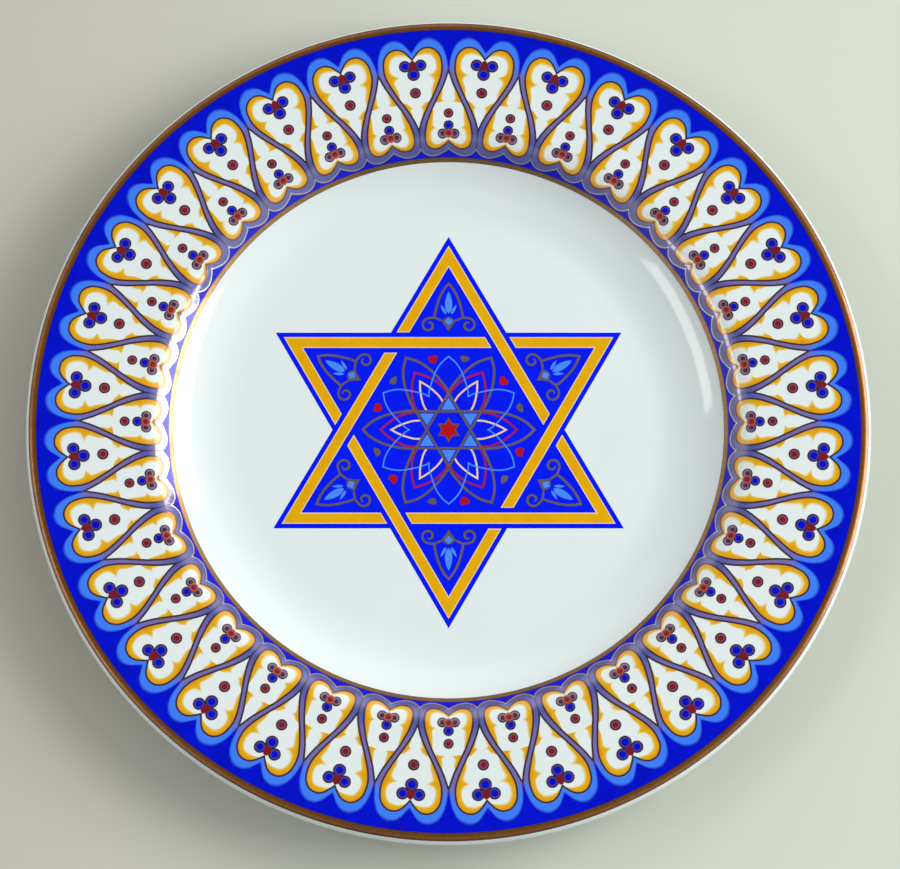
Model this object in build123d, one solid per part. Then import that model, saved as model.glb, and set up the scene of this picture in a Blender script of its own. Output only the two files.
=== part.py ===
from build123d import *
import os
from math import cos, radians, sin, tan

# A round footed plate, millimetres, +Z up, centred on its axis, standing on its foot ring at z = 0.
# The body is one fired porcelain piece. Enamel and gold lie on it as thin fired coats.

# Body
plate_diameter = 304.8
plate_height = 23.5
wall = 4.6
flange_width = 45.4
flange_slope = 3.4
wall_slope = 38.0
shoulder_radius = 16.0
wall_straight = 0.6
foot_height = 3.4
foot_width = 5.2
foot_taper = 0.8
foot_inset = 7.4

# Roundings of the rim edge and the tread, limited by what they round
lip_round = 0.65 * wall
lip_under_round = 0.24 * wall
foot_round = 0.18 * foot_width

# Coats: the border runs from the rim band over the shoulder to the well band
coat = 0.3
coat_seat = 0.1
lip_margin = 1.2
rim_band_width = 2.8
well_band_width = 1.5
shoulder_wrap = 5.7

# Border ornament: hearts that point to the well alternate with hearts that point to the rim
heart_pairs = 32

# Star in the well
star_margin = 1.6
star_edge = 1.7
ribbon_width = 4.1
ribbon_gap = 1.8
gilt_line = 1.0
fine_line = 0.7

plate_radius = plate_diameter / 2
floor_height = foot_height + wall
crease_radius = plate_radius - flange_width
rim_band_outer = plate_radius - lip_margin
border_outer = rim_band_outer - rim_band_width
border_inner = crease_radius - shoulder_wrap
border_width = border_outer - border_inner
well_band_inner = border_inner - well_band_width
star_face = floor_height + coat

# Sharp corners of the upper line, which the roundings then ease
lip_rise = lip_round * (tan(radians(flange_slope)) + 1 / cos(radians(flange_slope)) - 1)
lip_corner = (plate_radius, plate_height + lip_rise)
crease_corner = (crease_radius, lip_corner[1] - flange_width * tan(radians(flange_slope)))
wall_drop = crease_corner[1] - floor_height
wall_length = wall_drop / sin(radians(wall_slope))
floor_corner = (crease_radius - wall_drop / tan(radians(wall_slope)), floor_height)

# The shoulder is limited by the sloping wall, and the cavetto takes what it leaves
shoulder_turn = tan(radians((wall_slope - flange_slope) / 2))
shoulder_bend = min(shoulder_radius, 0.7 * wall_length / shoulder_turn)
cavetto_tangent = wall_length - shoulder_bend * shoulder_turn - wall_straight
cavetto_bend = cavetto_tangent / tan(radians(wall_slope / 2))
foot_radius = floor_corner[0] - foot_inset

# The star fills the flat floor, its ribbons leave a hexagon and six points
star_radius = floor_corner[0] - cavetto_tangent - star_margin
ribbon_outer = star_radius / 2 - star_edge
ribbon_inner = ribbon_outer - ribbon_width
point_foot = star_radius / 2
point_height = 2 * ribbon_inner - point_foot

# Rosette, drawn with the hexagon's inner half-breadth as 1
gilt_petal_tip = 1.02 * ribbon_inner
gilt_petal_half_width = 0.24 * ribbon_inner
sky_petal_tip = 0.91 * ribbon_inner
sky_petal_half_width = 0.175 * ribbon_inner
knot_radius = 0.463 * ribbon_inner
knot_point_tip = 0.39 * ribbon_inner
core_star_radius = 0.14 * ribbon_inner
seed_ring_radius = 0.875 * ribbon_inner
bud_radius = 0.05 * ribbon_inner
leaf_length = 0.123 * ribbon_inner
leaf_width = 0.071 * ribbon_inner
seed_turn = 12.0

# Palmette, drawn with the height of a star point as 1
volute_height = point_foot + 0.17 * point_height
volute_offset = 0.29 * point_height
volute_radius = 0.088 * point_height
palmette_belly = point_foot + 0.36 * point_height
palmette_tip = point_foot + 0.83 * point_height
palmette_half_width = 0.21 * point_height
diamond_height = point_foot + 0.22 * point_height
diamond_half_width = 0.064 * point_height
lily_foot = point_foot + 0.31 * point_height
lily_length = 0.33 * point_height
lily_half_width = 0.055 * point_height
lily_spread = 38.0


def shifted(corner, slope_in, slope_out, distance):
    """Corner of two lines, given by their slopes, after both move out by the distance."""
    middle = radians((slope_in + slope_out) / 2)
    reach = distance / cos(radians((slope_in - slope_out) / 2))
    return (corner[0] - reach * sin(middle), corner[1] + reach * cos(middle))


def section(lift):
    """Half section of the body, with its upper line raised by the lift."""
    corners = [
        (0, floor_height + lift),
        shifted(floor_corner, 0, wall_slope, lift),
        shifted(crease_corner, wall_slope, flange_slope, lift),
        shifted(lip_corner, flange_slope, -90, lift),
        (plate_radius + lift, lip_corner[1] - wall / cos(radians(flange_slope))),
        shifted(crease_corner, wall_slope, flange_slope, -wall),
        shifted(floor_corner, 0, wall_slope, -wall),
        (0, foot_height),
    ]
    bends = [
        cavetto_bend - lift,
        shoulder_bend + lift,
        lip_round + lift,
        lip_under_round,
        shoulder_bend - wall,
        cavetto_bend + wall,
    ]
    line = FilletPolyline(*[Vector(r, 0, z) for r, z in corners], radius=bends)
    return make_face([line, Line(line @ 1, line @ 0)])


def foot_section():
    """Tapered foot ring, rooted in the floor, with a rounded tread."""
    root = foot_height + wall / 2
    half_tread = foot_width / 2
    half_root = half_tread + foot_taper
    corners = [
        (foot_radius - half_root, root),
        (foot_radius - half_tread, 0),
        (foot_radius + half_tread, 0),
        (foot_radius + half_root, root),
    ]
    line = FilletPolyline(*[Vector(r, 0, z) for r, z in corners], radius=foot_round)
    return make_face([line, Line(line @ 1, line @ 0)])


def turned(face, arc=360):
    return revolve(face, axis=Axis.Z, revolution_arc=arc)


def porcelain_body():
    """Turned plate with its foot ring."""
    return turned(section(0)) + turned(foot_section())


def coat_section(inner, outer):
    """Section of a thin coat that follows the upper face of the body between two radii."""
    corners = [
        (inner, 0, floor_height),
        (outer, 0, floor_height),
        (outer, 0, 2 * plate_height),
        (inner, 0, 2 * plate_height),
    ]
    skin = section(coat_seat + coat) - section(coat_seat)
    strip = skin & make_face(Polyline(*corners, close=True))
    return strip.faces().sort_by(Axis.Z)[-1]


def border_point(sideways, depth):
    """Point of the border: sideways in repeats from the heart's axis, depth from rim to well."""
    turn = radians(sideways * 360 / heart_pairs)
    radius = border_outer - depth * border_width
    return (radius * sin(turn), radius * cos(turn))


# Half a heart is three arcs: over the lobe, round the flank, and along the side to the point
well_heart_arcs = [
    [(0.0, 0.223), (0.21, 0.136), (0.412, 0.285)],
    [(0.412, 0.285), (0.393, 0.37), (0.325, 0.485)],
    [(0.325, 0.485), (0.143, 0.655), (0.0, 0.8)],
]
rim_heart_arcs = [
    [(0.0, 0.895), (0.22, 0.951), (0.402, 0.87)],
    [(0.402, 0.87), (0.372, 0.785), (0.29, 0.688)],
    [(0.29, 0.688), (0.125, 0.518), (0.0, 0.33)],
]


def heart_prism(arcs):
    """Tall prism of a heart, drawn as one half and its mirror image."""
    half = [ThreePointArc(*[border_point(*point) for point in arc]) for arc in arcs]
    other = [arc.mirror(Plane.YZ) for arc in half]
    return extrude(make_face(half + other), 2 * plate_height, dir=(0, 0, 1))


def border_run(repeat, count):
    """Repeats fused side by side into one unbroken coat, doubling the run as it grows."""
    if count == 1:
        return repeat
    pitch = 360 / heart_pairs
    half = border_run(repeat, count // 2)
    run = half + Rot(0, 0, pitch * (count // 2)) * half
    if count % 2:
        run = run + Rot(0, 0, pitch * (count - 1)) * repeat
    return run


def border_ground():
    """Coat of the border with a heart window for every motif."""
    half_pitch = 180 / heart_pairs
    blank = Rot(0, 0, 90 - half_pitch) * turned(coat_section(border_inner, border_outer), 2 * half_pitch)
    well_heart = heart_prism(well_heart_arcs)
    windows = [heart_prism(rim_heart_arcs)]
    windows += [Rot(0, 0, turn) * well_heart for turn in (-half_pitch, half_pitch)]
    return border_run(blank - windows, heart_pairs)


def meet(first, second):
    """Point where two lines cross, each given by the direction of its normal and its distance."""
    a, b = radians(first[0]), radians(second[0])
    scale = sin(b - a)
    return (
        (first[1] * sin(b) - second[1] * sin(a)) / scale,
        (second[1] * cos(a) - first[1] * cos(b)) / scale,
    )


def hexagram(radius):
    """Six-pointed star with a point on +Y."""
    corners = []
    for number in range(6):
        corners.append(Vector(0, radius).rotate(Axis.Z, 60 * number))
        corners.append(Vector(0, radius / 3**0.5).rotate(Axis.Z, 60 * number + 30))
    return make_face(Polyline(*corners, close=True))


def ribbon():
    """One interlaced ribbon: it bends round a point, passes over one side and stops at the next."""
    first_end = (30, ribbon_outer + ribbon_gap)
    last_end = (-90, ribbon_inner - ribbon_gap)
    corners = [
        meet((90, ribbon_outer), first_end),
        meet((90, ribbon_outer), (-30, ribbon_outer)),
        meet((-30, ribbon_outer), last_end),
        meet((-30, ribbon_inner), last_end),
        meet((90, ribbon_inner), (-30, ribbon_inner)),
        meet((90, ribbon_inner), first_end),
    ]
    return make_face(Polyline(*corners, close=True))


def leaf_face(foot, belly, tip, half_width):
    """Pointed leaf along +Y, with one arc on each side through its belly."""
    side = ThreePointArc((half_width * 0.9, foot), (half_width, belly), (0, tip))
    return make_face([side, side.mirror(Plane.YZ), Line(side @ 0, side.mirror(Plane.YZ) @ 0)])


def leaf_line(foot, belly, tip, half_width, line):
    """Line along both sides of a pointed leaf, open at its foot."""
    inner = leaf_face(foot - line, belly, tip - 2 * line, half_width - line)
    return leaf_face(foot, belly, tip, half_width) - inner


def palmette_frame():
    """Gilt outline of a palmette: a pointed leaf that stands on two volutes."""
    leaf = leaf_line(volute_height, palmette_belly, palmette_tip, palmette_half_width, gilt_line)
    volute = Circle(volute_radius + gilt_line / 2) - Circle(volute_radius - gilt_line / 2)
    return leaf + [Pos(side * volute_offset, volute_height) * volute for side in (-1, 1)]


def lily():
    """Three-leaved lily above a small diamond."""
    middle = leaf_face(0, lily_length / 3, lily_length, lily_half_width)
    side = leaf_face(0, lily_length / 6, lily_length / 2, lily_half_width)
    leaves = middle + [Rot(0, 0, turn) * side for turn in (-lily_spread, lily_spread)]
    diamond = Rot(0, 0, 45) * Rectangle(diamond_half_width * 2**0.5, diamond_half_width * 2**0.5)
    return Pos(0, lily_foot) * leaves + Pos(0, diamond_height) * diamond


def knot_point():
    """Light triangle that fills one point of the star knot."""
    foot = (knot_radius + gilt_line) / 2
    half_foot = (knot_point_tip - foot) / 3**0.5
    return make_face(Polyline((-half_foot, foot), (half_foot, foot), (0, knot_point_tip), close=True))


def around(face, first_turn=0):
    """Six copies of a face about the axis, from the first turn on."""
    return [Rot(0, 0, first_turn + 60 * number) * face for number in range(6)]


def knot_line():
    """Gilt line of the small six-pointed star knot round the core."""
    middle = RegularPolygon((knot_radius - gilt_line) / 2, 6, major_radius=False)
    return hexagram(knot_radius + gilt_line) - around(knot_point()) - middle


def printed(faces, height):
    """Flat enamel or gold of the coat's thickness at a height."""
    return Compound(children=[extrude(Pos(0, 0, height) * face, coat, dir=(0, 0, 1)) for face in faces])


def star_print():
    """Everything that lies on the star's ground, by node."""
    ribbons = around(ribbon())
    frame = palmette_frame()
    knot = knot_line()
    gilt_petal = leaf_line(knot_radius / 2, knot_radius, gilt_petal_tip, gilt_petal_half_width, gilt_line)
    knot_field = hexagram(knot_radius + gilt_line)
    gilt_petals = [petal - knot_field for petal in around(gilt_petal, 30)]
    sky_petal = leaf_line(knot_radius, 1.3 * knot_radius, sky_petal_tip, sky_petal_half_width, fine_line)
    sky_petals = [petal - gilt_petals - knot_field for petal in around(sky_petal)]
    bud = Pos(0, seed_ring_radius) * Circle(bud_radius)
    leaf = Pos(0, seed_ring_radius) * Ellipse(leaf_length / 2, leaf_width / 2)
    return {
        "pointed_down_ribbons": ribbons[::2],
        "pointed_up_ribbons": ribbons[1::2],
        "palmette_frames": around(frame),
        "palmette_lilies": around(lily()),
        "knot_line": [knot],
        "knot_points": around(knot_point()),
        "core_star": [hexagram(core_star_radius)],
        "gilt_petals": gilt_petals,
        "sky_petals": sky_petals,
        "red_buds": around(bud, seed_turn),
        "gilt_leaves": around(leaf, -seed_turn),
    }


nodes = {
    "porcelain_body": porcelain_body(),
    "rim_gold_band": turned(coat_section(border_outer, rim_band_outer)),
    "well_gold_band": turned(coat_section(well_band_inner, border_inner)),
    "border_ground": border_ground(),
    "star_ground": printed([hexagram(star_radius)], floor_height),
}
for name, faces in star_print().items():
    nodes[name] = printed(faces, star_face)

os.makedirs("parts", exist_ok=True)
for name, shape in nodes.items():
    export_step(shape, os.path.join("parts", name + ".step"))
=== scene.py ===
import bmesh
import bpy
import numpy as np
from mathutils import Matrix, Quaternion, Vector


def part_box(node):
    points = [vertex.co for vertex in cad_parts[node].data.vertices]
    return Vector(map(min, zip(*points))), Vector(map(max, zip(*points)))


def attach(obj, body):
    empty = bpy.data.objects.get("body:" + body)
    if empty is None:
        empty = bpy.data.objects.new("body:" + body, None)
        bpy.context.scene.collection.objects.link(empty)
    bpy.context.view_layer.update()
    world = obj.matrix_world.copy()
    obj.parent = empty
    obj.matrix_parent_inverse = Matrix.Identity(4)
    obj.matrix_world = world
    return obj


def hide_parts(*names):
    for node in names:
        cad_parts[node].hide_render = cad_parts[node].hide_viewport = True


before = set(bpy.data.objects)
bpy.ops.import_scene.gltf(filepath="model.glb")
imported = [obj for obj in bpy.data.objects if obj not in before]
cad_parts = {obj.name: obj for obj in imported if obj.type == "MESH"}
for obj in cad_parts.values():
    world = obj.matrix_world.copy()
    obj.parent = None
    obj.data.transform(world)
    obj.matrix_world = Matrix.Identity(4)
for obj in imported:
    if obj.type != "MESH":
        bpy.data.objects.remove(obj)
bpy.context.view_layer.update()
mm = 0.001
print("frame loaded:", len(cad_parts), "nodes")


# Finishes: shader arithmetic, then one function for each fired surface

def tint(red, green, blue):
    # a screen colour of 0 to 255, decoded to linear light: ((c + 0.055) / 1.055) ^ 2.4
    share = np.array([red, green, blue]) / 255
    linear = np.where(share <= 0.04045, share / 12.92, ((share + 0.055) / 1.055) ** 2.4)
    return (*(float(value) for value in linear), 1.0)


class Wire:
    # an output socket: arithmetic on it adds Math nodes

    def __init__(self, finish, socket):
        self.finish = finish
        self.socket = socket

    def calculate(self, operation, first, second=0.0):
        return self.finish.node("ShaderNodeMath", {"operation": operation}, {0: first, 1: second})

    def __add__(self, other):
        return self.calculate("ADD", self, other)

    def __sub__(self, other):
        return self.calculate("SUBTRACT", self, other)

    def __rsub__(self, other):
        return self.calculate("SUBTRACT", other, self)

    def __mul__(self, other):
        return self.calculate("MULTIPLY", self, other)

    def __pow__(self, other):
        return self.calculate("POWER", self, other)


class Nodes:
    # one node tree, with a method for every kind of node that the finishes need

    def __init__(self, tree):
        self.tree = tree

    def node(self, kind, settings=None, sockets=None, output=0):
        made = self.tree.nodes.new(kind)
        for key, value in (settings or {}).items():
            setattr(made, key, value)
        for key, value in (sockets or {}).items():
            self.feed(made.inputs[key], value)
        return Wire(self, made.outputs[output])

    def feed(self, socket, value):
        if isinstance(value, Wire):
            self.tree.links.new(value.socket, socket)
        else:
            socket.default_value = value

    def ramp(self, value, low, high):
        # 0 below low, 1 above high, eased between them
        settings = {"interpolation_type": "SMOOTHSTEP"}
        return self.node("ShaderNodeMapRange", settings, {"Value": value, "From Min": low, "From Max": high})

    def blend(self, share, first, second):
        return self.node("ShaderNodeMix", {"data_type": "RGBA"}, {0: share, 6: first, 7: second}, 2)


class Finish(Nodes):
    # one material and the Principled shader that its nodes feed

    def __init__(self, name, uniform):
        self.material = bpy.data.materials.new(name)
        self.material.use_nodes = True
        super().__init__(self.material.node_tree)
        self.shader = self.tree.nodes["Principled BSDF"]
        for socket, value in uniform.items():
            self.shader.inputs[socket].default_value = value
        self.place = self.node("ShaderNodeTexCoord", output="Object")

    def noise(self, size, detail=3.0):
        # cloudy pattern with features of about this size in mm
        return self.node("ShaderNodeTexNoise", None, {"Vector": self.place, "Scale": 1 / (size * mm),
                                                      "Detail": detail})

    def axisDistance(self):
        # distance from the plate's axis in mm: (x^2 + y^2) ^ 0.5
        split = self.node("ShaderNodeSeparateXYZ", None, {0: self.place}).socket.node
        x = Wire(self, split.outputs[0])
        y = Wire(self, split.outputs[1])
        return (x * x + y * y) ** 0.5 * (1 / mm)

    def height(self):
        return self.node("ShaderNodeSeparateXYZ", None, {0: self.place}, 2) * (1 / mm)

    def across(self):
        # 0 at the first edge of a drawn piece, 1 at its other edge or at its middle
        return self.node("ShaderNodeAttribute", {"attribute_name": "across"}, None, 2)

    def ripple(self, height, depth):
        # bump whose height of 1 stands for this depth in mm
        bump = self.node("ShaderNodeBump", None, {"Height": height, "Strength": 1.0, "Distance": depth * mm})
        self.feed(self.shader.inputs["Normal"], bump)

    def set(self, socket, value):
        self.feed(self.shader.inputs[socket], value)


# Every finish has a thin clear coat on top
clearCoat = dict(index=1.6, roughness=0.03)


def glazed(weight, body):
    # uniform values of a fired surface: the weight of its clear coat, and the refractive index under it
    return {"IOR": body, "Coat Weight": weight, "Coat IOR": clearCoat["index"],
            "Coat Roughness": clearCoat["roughness"]}


def makePorcelain():
    # white glaze with slow clouds and a faint wave; the tread of the foot ring, low down, is bare and gritty
    look = dict(white=tint(228, 236, 234), shade=tint(220, 231, 231), bisque=tint(214, 209, 198), index=1.5,
                coat=0.15, rough=0.06, roughRange=0.05, tread=(0.27, 0.9), treadRough=0.55,
                cloudSize=38, waveSize=14, wave=0.8, gritSize=0.6, grit=0.4, depth=0.03)
    glaze = Finish("glazedPorcelain", glazed(look["coat"], look["index"]))
    cloud = glaze.noise(look["cloudSize"], detail=2)
    tread = 1 - glaze.ramp(glaze.height(), *look["tread"])
    white = glaze.blend(cloud, look["white"], look["shade"])
    glaze.set("Base Color", glaze.blend(tread, white, look["bisque"]))
    glaze.set("Roughness", cloud * look["roughRange"] + look["rough"] + tread * look["treadRough"])
    glaze.set("Coat Weight", (1 - tread) * look["coat"])
    wave = glaze.noise(look["waveSize"], detail=1) * look["wave"]
    glaze.ripple(wave + tread * glaze.noise(look["gritSize"]) * look["grit"], look["depth"])
    return glaze.material


def makeGold(name, bright, deep, wornAndEdgeTone, metal, polish, paintedSheen=None):
    # gold under a thin clear flux, with fine strokes, worn in cloudy patches and darker along both
    # edges, by the square of the share from the middle; paintedSheen is a painted sheen: a lighter, warmer
    # tone where the border rolls over the shoulder and the lines would catch the light
    look = dict(coat=0.4, index=1.5, strokeSize=1.4, strokeRough=0.12, strokeDepth=0.006, edge=(0.09, 0.22),
                edgeShare=0.65, patchSize=17, patch=(0.52, 0.72), patchShare=0.3, patchRough=0.1,
                shoulder=(104.5, 109.5))
    gold = Finish(name, {"Metallic": metal} | glazed(look["coat"], look["index"]))
    strokes = gold.noise(look["strokeSize"], detail=4)
    middle = gold.across() - 0.5
    edge = gold.ramp(middle * middle, *look["edge"])
    patch = gold.ramp(gold.noise(look["patchSize"], detail=3), *look["patch"])
    patchesAndEdges = patch * look["patchShare"] + edge * look["edgeShare"]
    colour = gold.blend(patchesAndEdges, gold.blend(strokes, bright, deep), wornAndEdgeTone)
    if paintedSheen:
        # painted sheen: towards the well the colour turns to the lighter, warmer paintedSheen tone
        colour = gold.blend(gold.ramp(gold.axisDistance(), *look["shoulder"]), paintedSheen, colour)
    gold.set("Base Color", colour)
    gold.set("Roughness", strokes * look["strokeRough"] + patch * look["patchRough"] + polish)
    gold.ripple(strokes, look["strokeDepth"])
    return gold.material


def makeEnamel(name, full, thin, edge=None, far=None, gloss=1.95):
    # fired colour, full in most places, thin in cloudy patches with fine grain, with other tones by its edges
    look = dict(coat=0.2, cloudSize=7, cloud=(0.35, 0.75), cloudShare=0.6, grainSize=0.5, grainShare=0.3,
                wander=0.2, edge=(0.0, 0.5), far=(0.6, 1.04), rough=0.08, roughRange=0.05,
                pitSize=1.3, pitShare=0.8, grainPit=0.2, depth=0.014)
    enamel = Finish(name, glazed(look["coat"], gloss))
    cloud = enamel.ramp(enamel.noise(look["cloudSize"], detail=4), *look["cloud"])
    grain = enamel.noise(look["grainSize"], detail=2)
    colour = enamel.blend(cloud * look["cloudShare"] + grain * look["grainShare"], full, thin)
    across = enamel.across() + (cloud - 0.5) * look["wander"]
    if edge:
        colour = enamel.blend(enamel.ramp(across, *look["edge"]), edge, colour)
    if far:
        colour = enamel.blend(enamel.ramp(across, *look["far"]), colour, far)
    enamel.set("Base Color", colour)
    enamel.set("Roughness", cloud * look["roughRange"] + grain * look["roughRange"] + look["rough"])
    pits = enamel.noise(look["pitSize"], detail=2) * look["pitShare"]
    enamel.ripple(pits + grain * look["grainPit"], look["depth"])
    return enamel.material


def makeStrapEnamel():
    # light blue on the outer lobes, shaded into the ground; slate violet on the diagonals, slate blue by the
    # well, and darker along both sides; the tones change between two distances from the axis in mm
    look = dict(lobe=tint(62, 128, 250), ground=tint(4, 22, 196), diagonal=tint(120, 110, 170),
                inner=tint(78, 88, 162), dark=tint(46, 42, 100), coat=0.2, index=1.95,
                toDiagonal=(108.0, 118.0), toLobe=(130.0, 138.0), fade=(0.66, 1.02), fadeWander=0.12,
                sides=(0.06, 0.25), sideShare=0.6, cloudSize=4, wander=3, rough=0.05, roughRange=0.08,
                pitSize=1.3, depth=0.018)
    enamel = Finish("strapEnamel", glazed(look["coat"], look["index"]))
    across = enamel.across()
    cloud = enamel.noise(look["cloudSize"], detail=4)
    distance = enamel.axisDistance() + (cloud - 0.5) * look["wander"]
    fade = enamel.ramp(across + (cloud - 0.5) * look["fadeWander"], *look["fade"])
    middle = across - 0.5
    sides = enamel.ramp(middle * middle, *look["sides"])
    lobe = enamel.blend(fade, look["lobe"], look["ground"])
    lower = enamel.blend(enamel.ramp(distance, *look["toDiagonal"]), look["inner"], look["diagonal"])
    lower = enamel.blend(sides * look["sideShare"], lower, look["dark"])
    enamel.set("Base Color", enamel.blend(enamel.ramp(distance, *look["toLobe"]), lower, lobe))
    enamel.set("Roughness", cloud * look["roughRange"] + look["rough"])
    enamel.ripple(enamel.noise(look["pitSize"], detail=2), look["depth"])
    return enamel.material


finishes = dict(
    porcelain=makePorcelain(),
    gold=makeGold("firedGold", tint(156, 100, 28), tint(108, 62, 20), tint(66, 38, 46), 0.62, 0.28),
    wellGold=makeGold("wellGold", tint(174, 136, 84), tint(132, 96, 58), tint(70, 52, 58), 0.8, 0.24),
    gilt=makeGold("starGilt", tint(146, 130, 134), tint(122, 108, 116), tint(92, 84, 112), 0.7, 0.3),
    # the last tint of outlineGilt is a painted sheen for the lines over the shoulder, where they would catch
    # the light
    darkGilt=makeGold("outlineGilt", tint(102, 82, 102), tint(82, 66, 90), tint(60, 50, 90), 0.6, 0.12,
                      tint(132, 86, 70)),
    # lobeGilt is gilt painted pale, in part a painted glint of the light on the shoulder
    giltWithPaintedGlint=makeGold("lobeGilt", tint(216, 198, 184), tint(190, 172, 164), tint(140, 130, 156), 0.75, 0.14),
    dotGilt=makeGold("dotGilt", tint(198, 160, 158), tint(160, 120, 140), tint(104, 78, 120), 0.6, 0.2),
    cobalt=makeEnamel("cobaltEnamel", tint(1, 18, 208), tint(2, 10, 178), gloss=1.38),
    starCobalt=makeEnamel("starCobaltEnamel", tint(0, 26, 244), tint(0, 18, 226), gloss=1.5),
    amber=makeEnamel("amberEnamel", tint(228, 174, 4), tint(218, 158, 4), gloss=1.55),
    liningAmber=makeEnamel("liningAmberEnamel", tint(228, 176, 12), tint(212, 160, 14), tint(222, 142, 20),
                           tint(238, 222, 164), gloss=1.65),
    sky=makeEnamel("skyEnamel", tint(68, 136, 248), tint(84, 150, 250)),
    red=makeEnamel("redEnamel", tint(190, 6, 6), tint(160, 14, 18)),
    petalRed=makeEnamel("petalRedEnamel", tint(168, 18, 84), tint(140, 34, 70)),
    darkRed=makeEnamel("darkRedEnamel", tint(128, 18, 32), tint(108, 24, 44)),
    rose=makeEnamel("roseEnamel", tint(146, 70, 78), tint(126, 56, 70)),
    violet=makeEnamel("violetEnamel", tint(70, 56, 140), tint(86, 60, 130)),
    ember=makeEnamel("emberEnamel", tint(188, 84, 52), tint(170, 74, 56)),
    plum=makeEnamel("plumEnamel", tint(52, 24, 70), tint(64, 30, 72)),
    cream=makeEnamel("creamEnamel", tint(244, 216, 160), tint(234, 200, 156)),
    strap=makeStrapEnamel(),
)
print("finishes made:", len(finishes))


# Shapes: curves, grids on the plate, and the pieces made from them

def roundedLine(corners, bends, stepDegrees, fewest=3):
    # each corner becomes an arc tangent to its two sides: start + R (sin t ahead + (1 - cos t) across)
    corners = np.array(corners, float)
    runs = [corners[:1]]
    for before, corner, after, bend in zip(corners, corners[1:], corners[2:], bends):
        ahead = (corner - before) / np.linalg.norm(corner - before)
        onward = (after - corner) / np.linalg.norm(after - corner)
        across = np.array([-ahead[1], ahead[0]])
        turn = np.arctan2(onward @ across, onward @ ahead)
        steps = int(np.degrees(abs(turn)) / stepDegrees) + fewest
        angle = np.linspace(0, abs(turn), steps)[:, None]
        start = corner - ahead * bend * np.tan(abs(turn) / 2)
        runs.append(start + bend * (np.sin(angle) * ahead + (1 - np.cos(angle)) * across * np.sign(turn)))
    runs.append(corners[-1:])
    return np.concatenate(runs)


def smoothLine(points, count, fineness=16):
    # Catmull-Rom curve in even steps: a cubic between each two points, with slopes from their neighbours
    points = np.asarray(points, float)
    knots = np.concatenate([[0], np.cumsum(np.sqrt(np.linalg.norm(np.diff(points, axis=0), axis=1)))])
    slopes = np.gradient(points, knots, axis=0)
    at = np.linspace(0, knots[-1], fineness * len(points))
    span = np.clip(np.searchsorted(knots, at, side="right") - 1, 0, len(knots) - 2)
    length = np.diff(knots)[span][:, None]
    t = (at[:, None] - knots[span][:, None]) / length
    ends = (1 + 2 * t) * (1 - t) ** 2 * points[span] + t**2 * (3 - 2 * t) * points[span + 1]
    leads = t * (1 - t) ** 2 * slopes[span] + t**2 * (t - 1) * slopes[span + 1]
    dense = ends + length * leads
    walked = np.concatenate([[0], np.cumsum(np.linalg.norm(np.diff(dense, axis=0), axis=1))])
    even = np.linspace(0, walked[-1], count)
    return np.stack([np.interp(even, walked, column) for column in dense.T], -1)


def ruled(first, second, columns):
    # grid of straight rulings between two lines with as many points
    share = np.linspace(0, 1, columns)[:, None]
    return first[:, None] * (1 - share) + second[:, None] * share


def mirrored(flat):
    # drawn points with the sign of x changed
    return flat * np.array([-1.0, 1.0])


def bothHalves(half):
    # closed outline of a half outline, which starts and ends on the mirror axis, and its mirror image
    return np.concatenate([half, mirrored(half[::-1])[1:-1]])


def turned(flat, degrees):
    # drawn points turned anticlockwise about the plate's axis
    angle = np.radians(degrees)
    x, y = flat[..., 0], flat[..., 1]
    return np.stack([x * np.cos(angle) - y * np.sin(angle), x * np.sin(angle) + y * np.cos(angle)], -1)


def around(grids, count, first=0.0):
    # even turns of a stack of grids about the axis, as one longer stack
    turns = first + 360 * np.arange(count) / count
    copies = turned(grids[None], turns.reshape(-1, 1, 1, 1))
    return copies.reshape(-1, *grids.shape[1:])


def headings(path):
    # direction of a path at each of its points, with length 1
    ahead = np.gradient(path, axis=0)
    return ahead / np.linalg.norm(ahead, axis=1)[:, None]


def mitredLine(half, width, closed=False, leastSlant=0.3):
    # line of even width along a half path and its mirror image: each point goes out by half the width along
    # the normal, and on the mirror axis by half the width over the sine of the angle to the axis
    ahead = headings(half)
    out = np.stack([ahead[:, 1], -ahead[:, 0]], -1) * width / 2
    onAxis = [0, -1] if closed else [-1]
    slant = np.clip(np.abs(ahead[onAxis, 0]), leastSlant, 1)
    out[onAxis] = np.stack([np.zeros(len(onAxis)), np.sign(out[onAxis, 1]) * width / 2 / slant], -1)
    rows = np.stack([half + out, half, half - out], 1)
    back = mirrored(rows[::-1])
    if closed:
        return np.concatenate([rows, back[1:-1]])
    return np.concatenate([rows, back[1:]])


def stroke(path, width, taper=0.08, end=0.35):
    # open line of even width along a path, drawn in to a share of the width at both ends
    ahead = headings(path)
    along = np.linspace(0, 1, len(path))
    share = np.interp(along, [0, taper, 1 - taper, 1], [end, 1, 1, end])[:, None]
    out = np.stack([ahead[:, 1], -ahead[:, 0]], -1) * width / 2 * share
    return np.stack([path + out, path, path - out], 1)


def roundGrid(radius, steps=4):
    # square grid drawn round: every square ring of it becomes a circle of the same size
    a, b = np.meshgrid(np.linspace(-1, 1, steps + 1), np.linspace(-1, 1, steps + 1), indexing="ij")
    wide = np.abs(a) > np.abs(b)
    ring = np.where(wide, a, b)
    safe = np.where(ring == 0, 1, ring)
    angle = np.where(wide, np.pi / 4 * b / safe, np.pi / 2 - np.pi / 4 * a / safe)
    return radius * np.stack([ring * np.cos(angle), ring * np.sin(angle)], -1)


def reach(node, axis=0):
    # how far a node's box goes along an axis, in mm
    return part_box(node)[1][axis] / mm


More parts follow.
